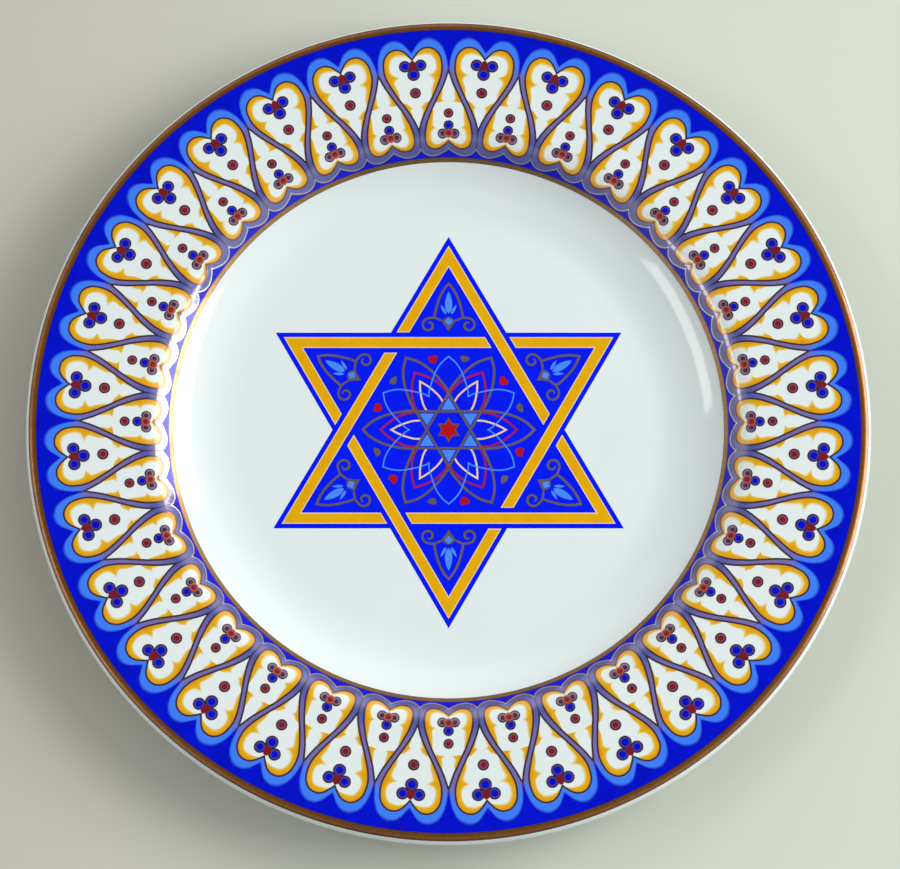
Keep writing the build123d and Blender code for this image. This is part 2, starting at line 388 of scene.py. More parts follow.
# Half section of the plate in mm: sharp corners first, eased by tangent arcs
plate = dict(radius=reach("porcelain_body"), height=reach("porcelain_body", 2), wall=4.6, flange=45.4,
             flangeSlope=3.4, wallSlope=38.0, shoulder=16.0, straight=0.6, lipRound=2.99, lipUnder=1.1,
             footHeight=3.4, footWidth=5.2, footTaper=0.8, footInset=7.4, footRound=0.94,
             turns=400, arcStep=2.0, footStep=8.0, sharpDegrees=60)


def plateSection():
    # upper line from the centre over the lip, and lower line back to the centre with the foot ring in it
    flange = np.radians(plate["flangeSlope"])
    wallAngle = np.radians(plate["wallSlope"])
    wall = plate["wall"]
    floor = plate["footHeight"] + wall
    crease = plate["radius"] - plate["flange"]
    lipTop = plate["height"] + plate["lipRound"] * (np.tan(flange) + 1 / np.cos(flange) - 1)
    creaseTop = lipTop - plate["flange"] * np.tan(flange)
    drop = creaseTop - floor
    foot = crease - drop / np.tan(wallAngle)
    shoulderTurn = np.tan((wallAngle - flange) / 2)
    cavetto = (drop / np.sin(wallAngle) - plate["shoulder"] * shoulderTurn - plate["straight"])
    cavetto /= np.tan(wallAngle / 2)
    shoulderIn = wall / np.cos((wallAngle - flange) / 2)
    shoulderLean = (wallAngle + flange) / 2
    floorIn = wall / np.cos(wallAngle / 2)
    corners = [
        (0, floor),
        (foot, floor),
        (crease, creaseTop),
        (plate["radius"], lipTop),
        (plate["radius"], lipTop - wall / np.cos(flange)),
        (crease + shoulderIn * np.sin(shoulderLean), creaseTop - shoulderIn * np.cos(shoulderLean)),
        (foot + floorIn * np.sin(wallAngle / 2), floor - floorIn * np.cos(wallAngle / 2)),
        (0, plate["footHeight"]),
    ]
    bends = [cavetto, plate["shoulder"], plate["lipRound"], plate["lipUnder"], plate["shoulder"] - wall,
             cavetto + wall]
    line = roundedLine(corners, bends, plate["arcStep"])
    edge = np.argmax(line[:, 0])
    upper, lower = line[:edge + 1], line[edge + 1:]
    middle = foot - plate["footInset"]
    halfTread = plate["footWidth"] / 2
    outside = lower[lower[:, 0] > middle + halfTread + plate["footTaper"]]
    inside = lower[lower[:, 0] < middle - halfTread - plate["footTaper"]]
    tread = [outside[-1], (middle + halfTread, 0), (middle - halfTread, 0), inside[0]]
    ring = roundedLine(tread, [plate["footRound"]] * 2, plate["footStep"])
    return upper, np.concatenate([outside[:-1], ring, inside[1:]])


upperLine, lowerLine = plateSection()
upperSlope = np.arctan2(np.gradient(upperLine[:, 1]), np.gradient(upperLine[:, 0]))


def lay(flat, lift, nearAxis=1e-6):
    # a drawn point goes to the plate's upper face and then out along the normal there by the lift, in metres
    radius = np.maximum(np.hypot(flat[..., 0], flat[..., 1]), nearAxis)
    slope = np.interp(radius, upperLine[:, 0], upperSlope)
    inward = 1 - lift * np.sin(slope) / radius
    height = np.interp(radius, upperLine[:, 0], upperLine[:, 1]) + lift * np.cos(slope)
    return np.stack([flat[..., 0] * inward, flat[..., 1] * inward, height], -1) * mm


def quads(nodes):
    # faces of a stack of index grids, anticlockwise where rows and then columns turn left
    corners = [nodes[:, :-1, :-1], nodes[:, 1:, :-1], nodes[:, 1:, 1:], nodes[:, :-1, 1:]]
    return np.stack(corners, -1).reshape(-1, 4)


def walls(edge, below):
    # upright faces under an edge that runs anticlockwise, from its points to those below
    return np.stack([below[:, :-1], below[:, 1:], edge[:, 1:], edge[:, :-1]], -1).reshape(-1, 4)


def slab(grids, top, base=-0.03, closed=False):
    # stack of drawn grids as thin closed solids on the plate: upper faces at the lift top, lower ones at
    # base, walls round the edge; closed joins the last row of a grid to its first. The third result is the
    # share of the way across each grid.
    if closed:
        grids = np.concatenate([grids, grids[:, :1]], 1)
    along = np.diff(grids, axis=1)[:, :, :-1]
    aside = np.diff(grids, axis=2)[:, :-1]
    area = (along[..., 0] * aside[..., 1] - along[..., 1] * aside[..., 0]).sum((1, 2))
    flip = area[:, None, None] < 0
    share = np.broadcast_to(np.linspace(0, 1, grids.shape[2]), grids.shape[:3])
    share = np.where(flip, share[:, :, ::-1], share).ravel()
    grids = np.where(flip[..., None], grids[:, :, ::-1], grids)
    upper = lay(grids, np.asarray(top, float))
    lower = lay(grids, base)
    count = upper[..., 0].size
    nodes = np.arange(count).reshape(upper.shape[:3])
    under = nodes + count
    faces = [quads(nodes), quads(under.transpose(0, 2, 1))]
    faces += [walls(nodes[:, :, 0], under[:, :, 0]), walls(nodes[:, ::-1, -1], under[:, ::-1, -1])]
    if not closed:
        faces += [walls(nodes[:, -1], under[:, -1]), walls(nodes[:, 0, ::-1], under[:, 0, ::-1])]
    points = np.concatenate([upper.reshape(-1, 3), lower.reshape(-1, 3)])
    return points, np.concatenate(faces), np.concatenate([share, share])


def stand(name, data):
    # a new object in the scene
    made = bpy.data.objects.new(name, data)
    bpy.context.scene.collection.objects.link(made)
    return made


def addPiece(name, solids, finish, nodes=(), sharpDegrees=35, weld=0.002):
    # solids hold points, four-cornered faces and shares across; points closer than weld become one, so that
    # poles and seams close
    starts = np.cumsum([0] + [len(points) for points, faces, shares in solids])
    points = np.concatenate([points for points, faces, shares in solids])
    faces = np.concatenate([faces + start for (corners, faces, shares), start in zip(solids, starts)])
    across = np.concatenate([shares for corners, faces, shares in solids])
    mesh = bpy.data.meshes.new(name)
    mesh.vertices.add(len(points))
    mesh.vertices.foreach_set("co", points.ravel())
    mesh.loops.add(faces.size)
    mesh.loops.foreach_set("vertex_index", faces.ravel().astype(np.int32))
    mesh.polygons.add(len(faces))
    mesh.polygons.foreach_set("loop_start", np.arange(0, faces.size, 4, dtype=np.int32))
    mesh.update(calc_edges=True)
    mesh.attributes.new("across", "FLOAT", "POINT").data.foreach_set("value", across.astype(np.float32))
    shell = bmesh.new()
    shell.from_mesh(mesh)
    bmesh.ops.remove_doubles(shell, verts=shell.verts, dist=weld * mm)
    shell.to_mesh(mesh)
    shell.free()
    mesh.shade_smooth()
    mesh.set_sharp_from_angle(angle=np.radians(sharpDegrees))
    mesh.materials.append(finishes[finish])
    piece = stand(name, mesh)
    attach(piece, "root")
    if nodes:
        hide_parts(*nodes)


def lathe(profile, turns):
    # profile of (radius, height) carried round the axis, outward side to the right of its course
    angle = np.linspace(0, 2 * np.pi, turns + 1)[:, None]
    points = np.stack([profile[:, 0] * np.cos(angle), profile[:, 0] * np.sin(angle),
                       np.broadcast_to(profile[:, 1], (turns + 1, len(profile)))], -1) * mm
    nodes = np.arange(points[..., 0].size).reshape(1, turns + 1, len(profile))
    shares = np.tile(np.linspace(0, 1, len(profile)), turns + 1)
    return points.reshape(-1, 3), quads(nodes[:, ::-1]), shares


def band(inner, outer, top, columns):
    # ring between two radii
    angle = np.linspace(0, 2 * np.pi, plate["turns"], endpoint=False)
    circle = np.stack([np.cos(angle), np.sin(angle)], -1)
    return slab(ruled(circle * inner, circle * outer, columns)[None], top, closed=True)


bodyLine = np.concatenate([upperLine, lowerLine])
addPiece("porcelainBody", [lathe(bodyLine, plate["turns"])], "porcelain", ["porcelain_body"],
         plate["sharpDegrees"])
print("body turned:", len(bodyLine), "points in its section")

# Gold bands at the rim and round the well
bands = dict(rimInner=reach("border_ground"), rimOuter=reach("rim_gold_band"), rimColumns=6,
             wellOuter=reach("well_gold_band"), wellWidth=1.5, wellColumns=4, lift=0.07)
wellInner = bands["wellOuter"] - bands["wellWidth"]
rimBand = band(bands["rimInner"], bands["rimOuter"], bands["lift"], bands["rimColumns"])
wellBand = band(wellInner, bands["wellOuter"], bands["lift"], bands["wellColumns"])
addPiece("rimGoldBand", [rimBand], "gold", ["rim_gold_band"])
addPiece("wellGoldBand", [wellBand], "wellGold", ["well_gold_band"])
print("gold bands laid")

# Border: hearts that point to the well, and between them hearts that point to the rim. A half repeat is drawn
# with u in repeats from the well heart's axis and the distance from the plate's centre in mm.
border = dict(
    repeats=32, outer=bands["rimInner"], inner=bands["wellOuter"], waist=110.2, belly=105.4,
    line=0.64, stemLine=0.5, stemGap=0.03, lobeLine=0.44, lobeJoin=1.6,
    groundLift=0.05, liningLift=0.052, strapLift=0.054,
    lobeLift=(0.065, 0.085, 0.065), stemLift=(0.07, 0.09, 0.07), lineLift=(0.075, 0.095, 0.075),
    wellHeart=[(0, 137.6), (0.055, 139.5), (0.1, 140.8), (0.153, 141.7), (0.215, 142.0), (0.285, 141.6),
               (0.345, 140.3), (0.385, 138.6), (0.404, 136.4), (0.41, 133.9), (0.397, 131.5), (0.362, 128.8),
               (0.306, 125.6), (0.243, 122.5), (0.18, 119.8), (0.111, 116.7), (0.056, 114.0), (0.02, 111.7),
               (0, 110.2)],
    wellLobe=[(0, 140.5), (0.042, 142.0), (0.097, 144.1), (0.167, 145.5), (0.25, 145.9), (0.333, 145.1),
              (0.403, 143.3), (0.455, 140.4), (0.48, 137.8), (0.492, 135.3), (0.5, 133.0)],
    rimHeart=[(0.5, 133.0), (0.486, 132.1), (0.458, 129.9), (0.417, 127.2), (0.361, 124.4), (0.292, 121.1),
              (0.236, 118.5), (0.188, 115.9), (0.14, 113.2), (0.111, 110.8), (0.096, 108.9), (0.096, 107.0),
              (0.118, 105.4), (0.18, 104.3), (0.25, 104.0), (0.333, 104.2), (0.417, 105.1), (0.472, 106.0),
              (0.5, 106.5)],
    rimLobe=[(0, 104.3), (0.028, 103.5), (0.07, 102.8), (0.125, 102.25), (0.222, 101.95), (0.305, 102.2),
             (0.403, 102.95), (0.472, 103.7), (0.5, 104.2)],
)
# Points along the border's curves, and columns across its strips
curveSteps = dict(wellLobe=40, rimLobe=30, heart=160, strapEdge=60, strapRows=(28, 30, 10, 26), stem=20,
                  wellLine=60, rimLine=56, stemLine=8, lining=4)
stripColumns = dict(outer=5, inner=4, strap=5, lining=3)
pitch = 360 / border["repeats"]


def borderLine(points, axis=0.0):
    # points (u, radius) about an axis: x = radius sin(turn), y = radius cos(turn), turn clockwise
    u, radius = np.array(points, float).T
    turn = np.radians((u - axis) * pitch)
    return np.stack([radius * np.sin(turn), radius * np.cos(turn)], -1)


def borderCurve(points, count):
    # smooth curve through points (u, radius)
    return smoothLine(borderLine(points), count)


def ringRound(rows):
    # half repeat and its mirror image, turned all round: rows (along, across, xy) that start on the axis
    # u = 0 and end on the axis u = 0.5 become one closed ring
    other = turned(mirrored(rows[::-1]), -pitch)
    repeat = np.concatenate([rows[:-1], other[:-1]])
    turns = np.arange(border["repeats"]) * -pitch - pitch / 2
    return turned(repeat[None], turns.reshape(-1, 1, 1)).reshape(1, -1, *rows.shape[1:])


def circleBeside(line, radius):
    # the points of a circle that lie on the same spokes as a line's points
    return line * (radius / np.hypot(line[:, 0], line[:, 1]))[:, None]


def inEveryHeart(grids, axis=0.0):
    # a stack of half-heart grids and their mirror images about the heart's axis, in all repeats
    both = np.concatenate([grids, mirrored(grids)])
    return around(both, border["repeats"], -pitch * (0.5 + axis))


def makeBorderGround():
    # cobalt from the outer lobes to the rim's gold, and from the well's gold to the inner lobes
    lobe = borderCurve(border["wellLobe"], curveSteps["wellLobe"])
    outer = ringRound(ruled(lobe, circleBeside(lobe, border["outer"]), stripColumns["outer"]))
    foot = borderCurve(border["rimLobe"], curveSteps["rimLobe"])
    inner = ringRound(ruled(circleBeside(foot, border["inner"]), foot, stripColumns["inner"]))
    solids = [slab(ring, border["groundLift"], closed=True) for ring in (outer, inner)]
    addPiece("borderGround", solids, "cobalt", ["border_ground"])


def makeHeartStraps():
    # one endless strap: the outer lobe, the diagonal, the stem and the inner lobe of each half repeat, drawn
    # between pairs of edges
    wellHeart = borderCurve(border["wellHeart"], curveSteps["heart"])
    flank = np.argmax(np.arctan2(wellHeart[:, 0], wellHeart[:, 1]))
    rimHeart = borderCurve(border["rimHeart"], curveSteps["heart"])
    radius = np.hypot(rimHeart[:, 0], rimHeart[:, 1])
    waist = np.argmax(radius < border["waist"])
    belly = np.argmax(radius < border["belly"])
    stemEnd = border["rimLobe"][0][1] / border["wellHeart"][-1][1]
    stem = wellHeart[-1:] * np.linspace(1, stemEnd, curveSteps["stem"])[:, None]
    edges = [
        (wellHeart[:flank + 1], borderCurve(border["wellLobe"], curveSteps["strapEdge"])),
        (wellHeart[flank:], rimHeart[:waist + 1]),
        (stem, rimHeart[waist:belly + 1]),
        (borderCurve(border["rimLobe"], curveSteps["strapEdge"]), rimHeart[belly:]),
    ]
    strips = []
    for (first, second), rows in zip(edges, curveSteps["strapRows"]):
        strips.append(ruled(smoothLine(first, rows), smoothLine(second, rows), stripColumns["strap"]))
    strips[2][:, 0, 0] += border["stemGap"]  # the two halves of a stem stay apart
    rows = np.concatenate([strips[0]] + [strip[1:] for strip in strips[1:]])
    strap = slab(ringRound(rows), border["strapLift"], closed=True)
    addPiece("heartStraps", [strap], "strap", ["border_ground"])


def makeHeartLines():
    # dark gilt outlines of both kinds of heart, and the stems between them
    wellHalf = borderCurve(border["wellHeart"], curveSteps["wellLine"])
    rimHalf = smoothLine(borderLine(border["rimHeart"], 0.5), curveSteps["rimLine"])
    wellLine = mitredLine(wellHalf, border["line"], True)
    rimLine = mitredLine(rimHalf, border["line"], True)
    stemEnds = borderLine([(0, border["wellHeart"][-1][1]), (0, border["rimLobe"][0][1])])
    stem = stroke(ruled(stemEnds[:1], stemEnds[1:], curveSteps["stemLine"])[0], border["stemLine"])
    solids = [
        slab(around(wellLine[None], border["repeats"], -pitch / 2), border["lineLift"], closed=True),
        slab(around(rimLine[None], border["repeats"]), border["lineLift"], closed=True),
        slab(around(stem[None], border["repeats"], -pitch / 2), border["stemLift"]),
    ]
    addPiece("heartLines", solids, "darkGilt", ["border_ground"])


def makeLobeLines():
    # gilt line under the inner lobes, its pale tone in part a painted glint on the shoulder: each point goes
    # out by half the width along the normal, and where two lobes meet along the spoke, by more
    foot = borderCurve(border["rimLobe"], curveSteps["rimLobe"])
    ahead = headings(foot)
    half = border["lobeLine"] / 2
    out = np.stack([-ahead[:, 1], ahead[:, 0]], -1) * half
    ends = foot[[0, -1]]
    out[[0, -1]] = ends / np.hypot(ends[:, 0], ends[:, 1])[:, None] * half * border["lobeJoin"]
    line = np.stack([foot - out, foot, foot + out], 1)
    solids = [slab(ringRound(line), border["lobeLift"], closed=True)]
    addPiece("lobeLines", solids, "giltWithPaintedGlint", ["border_ground"])


# Amber linings: rows of (outer u, outer radius, inner u, inner radius); a new list starts at each sharp tip
linings = dict(
    well=[
        [(0.025, 138.5, 0.03, 138.2), (0.083, 140.4, 0.083, 139.0), (0.153, 141.7, 0.15, 139.3),
         (0.215, 142.0, 0.21, 139.3), (0.285, 141.6, 0.262, 138.9), (0.345, 140.3, 0.298, 137.8),
         (0.385, 138.6, 0.318, 136.4), (0.404, 136.4, 0.324, 135.1), (0.41, 133.9, 0.312, 133.4),
         (0.405, 132.6, 0.275, 132.2), (0.397, 131.5, 0.2, 131.4)],
        [(0.397, 131.5, 0.2, 131.4), (0.386, 130.6, 0.262, 130.3), (0.374, 129.7, 0.284, 129.4),
         (0.356, 128.4, 0.271, 128.2), (0.332, 127.0, 0.252, 126.7), (0.306, 125.6, 0.24, 125.2),
         (0.275, 124.0, 0.238, 123.7), (0.247, 122.7, 0.24, 122.7)],
    ],
    wellLeaf=[
        [(0.226, 121.8, 0.218, 121.8), (0.2, 120.7, 0.139, 121.0), (0.18, 119.8, 0.086, 119.8),
         (0.168, 119.25, 0.06, 119.2)],
        [(0.168, 119.25, 0.06, 119.2), (0.155, 118.7, 0.094, 118.5), (0.135, 117.8, 0.086, 117.4),
         (0.111, 116.7, 0.074, 116.3), (0.084, 115.4, 0.072, 115.2)],
    ],
    rimLeaf=[
        [(0.414, 127.0, 0.418, 126.9), (0.386, 125.6, 0.412, 125.3), (0.361, 124.4, 0.413, 124.2),
         (0.341, 123.5, 0.403, 123.0), (0.325, 122.7, 0.408, 122.0), (0.31, 121.9, 0.446, 121.3)],
        [(0.31, 121.9, 0.446, 121.3), (0.299, 121.4, 0.388, 121.0), (0.285, 120.8, 0.297, 120.8)],
    ],
    rim=[
        [(0.25, 119.2, 0.256, 119.1), (0.236, 118.5, 0.258, 118.0), (0.211, 117.2, 0.257, 116.6),
         (0.188, 115.9, 0.251, 114.8), (0.162, 114.4, 0.245, 113.1), (0.14, 113.2, 0.252, 112.0),
         (0.126, 112.1, 0.3, 111.3)],
        [(0.126, 112.1, 0.3, 111.3), (0.115, 111.2, 0.246, 110.6), (0.105, 110.2, 0.218, 109.7),
         (0.096, 108.9, 0.203, 108.2), (0.096, 107.0, 0.212, 106.8), (0.118, 105.4, 0.25, 105.9),
         (0.18, 104.3, 0.3, 105.6), (0.25, 104.0, 0.338, 105.75), (0.333, 104.2, 0.38, 106.05),
         (0.417, 105.1, 0.432, 106.6), (0.472, 106.0, 0.476, 107.1), (0.496, 106.4, 0.497, 107.4)],
    ],
)


def makeHeartLinings():
    # straight rulings between the two edges of a lining, each edge a smooth curve from tip to tip
    solids = []
    for name, parts in linings.items():
        axis = 0.5 if name.startswith("rim") else 0.0
        edges = []
        for rows in parts:
            rows = np.array(rows)
            sides = np.concatenate([borderLine(rows[:, :2], axis), borderLine(rows[:, 2:], axis)], 1)
            edges.append(smoothLine(sides, curveSteps["lining"] * len(rows))[1 if edges else 0:])
        edges = np.concatenate(edges)
        grid = ruled(edges[:, :2], edges[:, 2:], stripColumns["lining"])
        solids.append(slab(inEveryHeart(grid[None], axis), border["liningLift"]))
    addPiece("heartLinings", solids, "liningAmber")


# Dots: places as (sideways mm, distance from the centre), and layers as (kind, radius, lift) from the lowest
# up; shape draws a round dot out into an oval
dots = dict(
    wellSides=dict(axis=0.0, places=[(-2.9, 135.3), (2.9, 135.3)],
                   layers=[("ring", 2.25, 0.07), ("violet", 1.78, 0.085), ("blue", 1.2, 0.1)]),
    wellFoot=dict(axis=0.0, places=[(0, 131.9)],
                  layers=[("ring", 2.35, 0.073), ("violet", 1.88, 0.088), ("blue", 1.32, 0.103)]),
    wellCentre=dict(axis=0.0, places=[(0, 135.0)], layers=[("darkRed", 1.45, 0.108)]),
    wellStalk=dict(axis=0.0, places=[(0, 135.9)], shape=(0.85, 1.0), layers=[("darkRed", 1.3, 0.106)]),
    wellDot=dict(axis=0.0, places=[(0, 124.9)],
                 layers=[("ring", 2.05, 0.07), ("rose", 1.55, 0.085), ("darkRed", 0.95, 0.1)]),
    rimSides=dict(axis=0.5, places=[(-2.2, 109.1), (2.2, 109.1)],
                  layers=[("ring", 1.85, 0.07), ("gilt", 1.46, 0.085), ("plum", 0.86, 0.1)]),
    rimFoot=dict(axis=0.5, places=[(0, 112.2)],
                 layers=[("ring", 1.88, 0.073), ("violet", 1.42, 0.088), ("blue", 1.0, 0.103)]),
    rimCentre=dict(axis=0.5, places=[(0, 109.2)], layers=[("ember", 1.6, 0.106), ("darkRed", 1.0, 0.112)]),
    rimDot=dict(axis=0.5, places=[(0, 116.8)],
                layers=[("ring", 1.82, 0.07), ("rose", 1.36, 0.085), ("darkRed", 0.85, 0.1)]),
)


# Piece, finish and slot of each kind of layer
dotPieces = dict(
    ring=("heartDiscs", "darkGilt", "gold"),
    gilt=("heartGiltDots", "dotGilt", "gold"),
    plum=("heartPlumDots", "plum", "sky_enamel"),
    violet=("heartVioletDots", "violet", "sky_enamel"),
    blue=("heartBlueDots", "cobalt", "cobalt_enamel"),
    rose=("heartRoseDots", "rose", "red_enamel"),
    ember=("heartEmberDots", "ember", "red_enamel"),
    darkRed=("heartRedDots", "darkRed", "red_enamel"),
)


def makeHeartDots():
    # round layers of every dot in all repeats, gathered by their kind
    layers = {kind: [] for kind in dotPieces}
    for dot in dots.values():
        first = -pitch * (0.5 + dot["axis"])
        for kind, radius, lift in dot["layers"]:
            disc = roundGrid(radius) * dot.get("shape", (1.0, 1.0))
            discs = np.stack([disc + place for place in dot["places"]])
            layers[kind].append(slab(around(discs, border["repeats"], first), lift))
    for kind, (name, finish, slot) in dotPieces.items():
        addPiece(name, layers[kind], finish)


makeBorderGround()
makeHeartStraps()
makeHeartLines()
makeLobeLines()
makeHeartLinings()
makeHeartDots()
print("border laid:", 2 * border["repeats"], "hearts")

# Star in the well: an interlaced star of two ribbons, a rosette in its hexagon and a palmette in each point
star = dict(radius=reach("star_ground", 1), edge=1.7, ribbon=4.1, gap=1.8, creamLine=0.38, giltLine=1.0,
            groundLift=0.04, ribbonLift=0.07, creamLift=0.082, flatLift=0.09, lineLift=(0.07, 0.085, 0.07),
            topLift=(0.08, 0.1, 0.08), layer=0.005)
ribbonOuter = star["radius"] / 2 - star["edge"]
ribbonInner = ribbonOuter - star["ribbon"]


def meet(first, second):
    # crossing of two lines, each given by its normal's direction in degrees and its distance from the centre
    a, b = np.radians(first[0]), np.radians(second[0])
    return np.array([first[1] * np.sin(b) - second[1] * np.sin(a),
                     second[1] * np.cos(a) - first[1] * np.cos(b)]) / np.sin(b - a)


def hexagram(radius):
    # twelve corners of a six-pointed star with a point on +Y
    turns = np.arange(12) * 30.0
    reaches = np.where(np.arange(12) % 2, radius / 3**0.5, radius)
    return turned(np.stack([0 * reaches, reaches], -1), turns)


def polygon(corners, sides):
    # regular polygon by its corner distance, with a corner on +Y
    return turned(np.tile([0.0, corners], (sides, 1)), np.arange(sides) * 360 / sides)


def drawnIn(loop, rings):
    # grid from a closed outline to its middle
    return ruled(loop, np.tile(loop.mean(0), (len(loop), 1)), rings + 1)


def ribbonLoop(shrink):
    # outline of a ribbon that bends round a point, passes over one side and stops short of the next
    outer, inner = ribbonOuter - shrink, ribbonInner + shrink
    firstEnd = (30, ribbonOuter + star["gap"] + shrink)
    lastEnd = (-90, ribbonInner - star["gap"] - shrink)
    corners = [((90, outer), firstEnd), ((90, outer), (-30, outer)), ((-30, outer), lastEnd),
               ((-30, inner), lastEnd), ((90, inner), (-30, inner)), ((90, inner), firstEnd)]
    return np.array([meet(first, second) for first, second in corners])


def sixfold(grid, first=0.0):
    # a grid in all six points of the star, the first turned by so many degrees
    return around(grid[None], 6, first)


def onLayer(number):
    # lift of a line's two sides and its middle, so many layers over the star's top lines
    return np.array(star["topLift"]) + number * star["layer"]


def makeStarGround():
    ground = slab(drawnIn(hexagram(star["radius"]), 3)[None], star["groundLift"], closed=True)
    addPiece("starGround", [ground], "starCobalt", ["star_ground"])


def makeRibbons():
    # three ribbons of each triangle, and a cream line just inside the outline of all six
    loop = ribbonLoop(0)
    face = np.stack([loop[:3], loop[5:2:-1]], 1)
    edge = np.stack([loop, ribbonLoop(star["creamLine"])], 1)
    down = slab(around(face[None], 3), star["ribbonLift"])
    up = slab(around(face[None], 3, 60), star["ribbonLift"])
    cream = slab(sixfold(edge), star["creamLift"], closed=True)
    addPiece("pointedDownRibbons", [down], "amber", ["pointed_down_ribbons"])
    addPiece("pointedUpRibbons", [up], "amber", ["pointed_up_ribbons"])
    addPiece("ribbonEdges", [cream], "cream")


# Rosette: half petals from their root to their tip, along +Y
rosette = dict(
    giltPetal=[(6.7, 9.0), (7.1, 13.3), (6.7, 17.4), (5.5, 22.8), (3.1, 27.9), (0, 31.3)],
    redPetal=[(6.5, 10.8), (6.3, 14.0), (5.6, 16.8), (4.1, 19.9), (2.0, 22.7), (0, 24.8)], redLine=0.8,
    creamPetal=[(3.4, 9.6), (3.35, 12.4), (2.6, 15.4), (1.4, 18.4), (0, 20.9)], creamLine=0.66,
    skyPetal=[(7.2, 12.2), (7.1, 14.5), (6.2, 17.8), (4.4, 22.6), (2.3, 25.6), (0, 27.6)], skyLine=0.52,
    knotInradius=6.9, knotLine=0.95, knotPointFoot=7.6, knotPointTip=12.1,
    coreStar=3.85, coreLift=0.1, coreLine=4.8, coreLineLift=0.07, seedRing=27.2, seedTurn=12.3, petalSteps=28,
)


def petalLine(name, width, lift, first):
    # six petals drawn as lines
    half = smoothLine(rosette[name], rosette["petalSteps"])
    return slab(sixfold(mitredLine(half, width), first), lift)


def triangleRing(inradius, width):
    # line of this width along a triangle: its corners lie at twice the inradius, plus or minus the width
    outer = polygon(2 * inradius + width, 3)
    inner = polygon(2 * inradius - width, 3)
    return np.stack([outer, (outer + inner) / 2, inner], 1)


def makeRosette():
    gilt = petalLine("giltPetal", star["giltLine"], star["lineLift"], 30)
    red = petalLine("redPetal", rosette["redLine"], onLayer(1), 30)
    cream = petalLine("creamPetal", rosette["creamLine"], onLayer(2), 30)
    thin = petalLine("skyPetal", rosette["skyLine"], onLayer(3), 0)
    addPiece("giltPetals", [gilt], "gilt", ["gilt_petals"])
    addPiece("redPetals", [red], "petalRed")
    addPiece("creamPetals", [cream], "cream")
    addPiece("skyPetals", [thin], "sky", ["sky_petals"])
    ring = triangleRing(rosette["knotInradius"], rosette["knotLine"])
    under = slab(ring[None], onLayer(4), closed=True)
    over = slab(turned(ring, 180)[None], onLayer(5), closed=True)
    addPiece("knotLine", [under, over], "gilt", ["knot_line"])
    foot, tip = rosette["knotPointFoot"], rosette["knotPointTip"]
    point = polygon((tip - foot) * 2 / 3, 3) + (0, foot + (tip - foot) / 3)
    points = slab(sixfold(drawnIn(point, 1)), star["flatLift"], closed=True)
    addPiece("knotPoints", [points], "sky", ["knot_points"])
    outline = slab(drawnIn(hexagram(rosette["coreLine"]), 1)[None], rosette["coreLineLift"], closed=True)
    core = slab(drawnIn(hexagram(rosette["coreStar"]), 2)[None], rosette["coreLift"], closed=True)
    addPiece("coreLine", [outline], "gilt")
    addPiece("coreStar", [core], "red", ["core_star"])


# Seeds between the petal tips: small heart-shaped buds and half-round leaves, drawn about their own middle
seeds = dict(bud=[(0, -1.8), (1.2, -0.9), (1.75, 0.3), (1.2, 1.35), (0, 1.05)], budSteps=10,
             leaf=[(-1.8, 0.5), (-0.9, 1.1), (0.6, 1.2), (2.0, 0.7), (0.9, -0.8), (-0.6, -1.2)],
             leafSteps=17)


def makeSeeds():
    place = (0, rosette["seedRing"])
    bud = bothHalves(smoothLine(seeds["bud"], seeds["budSteps"])) + place
    leaf = smoothLine(seeds["leaf"] + seeds["leaf"][:1], seeds["leafSteps"])[:-1] + place
    buds = slab(sixfold(drawnIn(bud, 2), rosette["seedTurn"]), star["flatLift"], closed=True)
    leaves = slab(sixfold(drawnIn(leaf, 2), -rosette["seedTurn"]), star["flatLift"], closed=True)
    addPiece("redBuds", [buds], "red", ["red_buds"])
    addPiece("giltLeaves", [leaves], "gilt", ["gilt_leaves"])


# Palmette in a star point, along +Y: a pointed leaf on two arms that curl into volutes, a lily, and a diamond
# in a gilt kite where the arms meet
palmette = dict(
    leaf=[(5.25, 42.4), (5.05, 44.0), (4.3, 47.0), (3.15, 50.4), (1.6, 53.3), (0, 55.3)], leafSteps=24,
    line=0.95,
    arm=[(2.0, 40.9), (3.9, 41.8), (5.3, 42.3), (6.8, 42.2)], armSteps=60, armLine=0.9025,
    voluteMiddle=(7.25, 39.45), voluteOuter=2.7, voluteInner=0.9, voluteStart=100.0, voluteSweep=-400.0,
    voluteSteps=12,
    kite=[(0, 42.7), (1.3, 42.2), (2.5, 40.9), (1.35, 39.2), (0, 37.0)], kiteSteps=12, kiteLift=0.066,
    lilyFoot=43.9, lilyTip=52.2, lilyHalf=1.35, sideTip=(2.9, 47.2), sideHalf=0.55, sideFoot=(0.9, 43.6),
    diamond=40.9, diamondHalf=1.5,
)


def leafBetween(foot, tip, half, count=10, bulge=0.8):
    # pointed leaf from foot to tip: half the width times sin(pi t ^ bulge) ^ bulge to each side
    foot, tip = np.array(foot, float), np.array(tip, float)
    t = np.linspace(0, 1, count)[:, None]
    ahead = (tip - foot) / np.linalg.norm(tip - foot)
    aside = np.array([-ahead[1], ahead[0]]) * half * np.sin(np.pi * t**bulge) ** bulge
    spine = foot + (tip - foot) * t
    return ruled(spine - aside, spine + aside, 3)


def palmetteArm():
    # an arm and its volute: the radius shrinks evenly as the angle turns
    t = np.linspace(0, 1, palmette["voluteSteps"])[1:]
    angle = np.radians(palmette["voluteStart"] + palmette["voluteSweep"] * t)
    radius = palmette["voluteOuter"] + (palmette["voluteInner"] - palmette["voluteOuter"]) * t
    curl = np.stack([radius * np.cos(angle), radius * np.sin(angle)], -1) + palmette["voluteMiddle"]
    path = smoothLine(np.concatenate([palmette["arm"], curl]), palmette["armSteps"])
    return stroke(path, palmette["armLine"])


